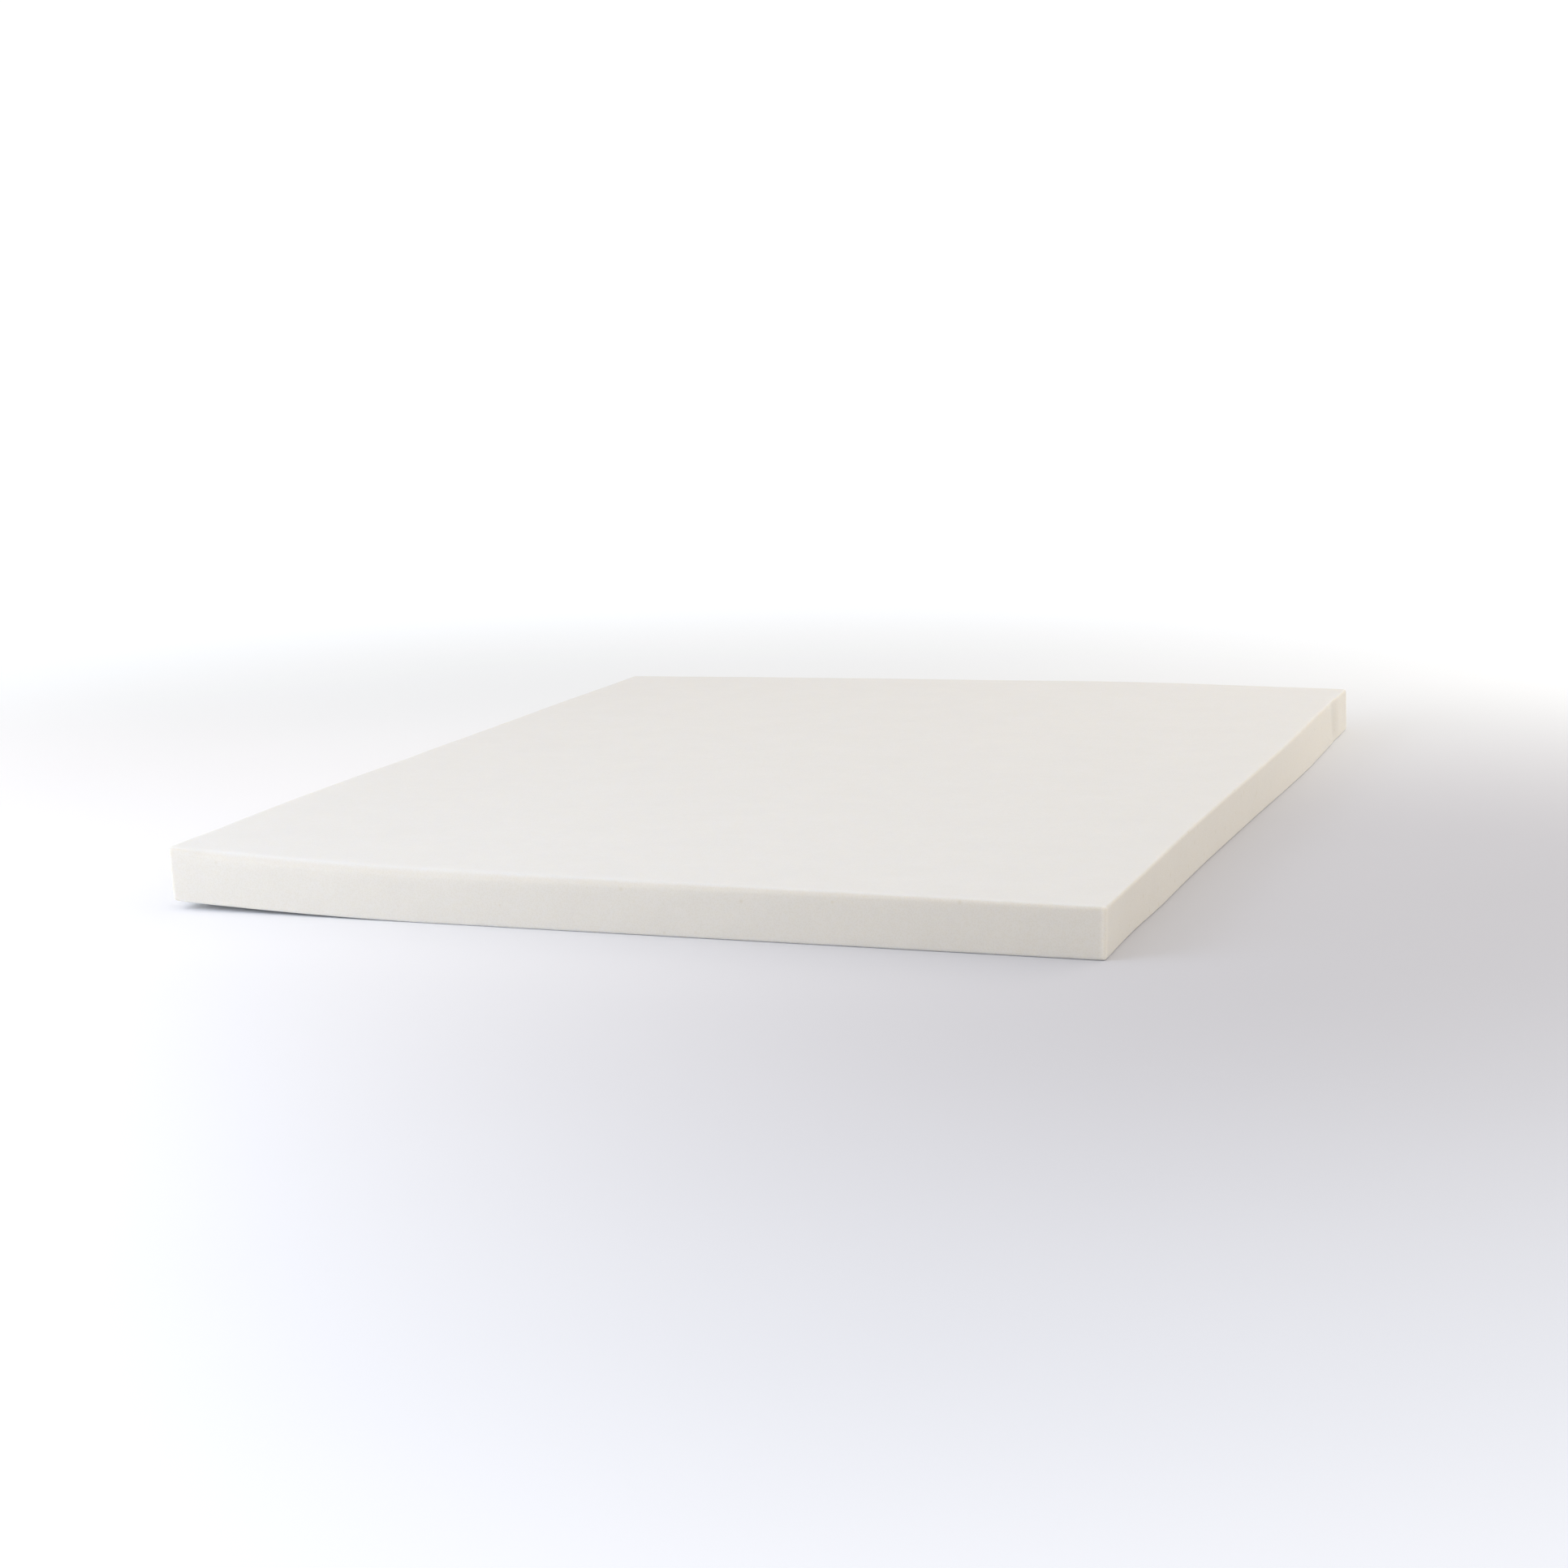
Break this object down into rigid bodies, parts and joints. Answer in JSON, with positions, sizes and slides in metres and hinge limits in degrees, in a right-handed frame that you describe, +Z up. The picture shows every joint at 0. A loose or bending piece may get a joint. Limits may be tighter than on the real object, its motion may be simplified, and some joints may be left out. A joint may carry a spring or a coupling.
{
  "type": "mattress topper",
  "caption": "Uncovered slab of cream memory foam for a full-size bed, flat underneath, with soft sawn edges, a curled foot corner and a pressed-in head corner.",
  "frame": {"origin": "on the surface the topper rests on, under the middle of its box", "axes": "+Y from the foot end to the head end, +X across the bed to the right of someone who stands at the foot and looks at the head, +Z up"},
  "size_m": [1.3785, 1.905, 0.0913],
  "materials": {
    "foam": "bare open-cell memory foam, cream, matt and finely pored, sawn on all sides"
  },
  "bodies": {
    "root": {"foam_slab": "foam"}
  },
  "joints": []
}
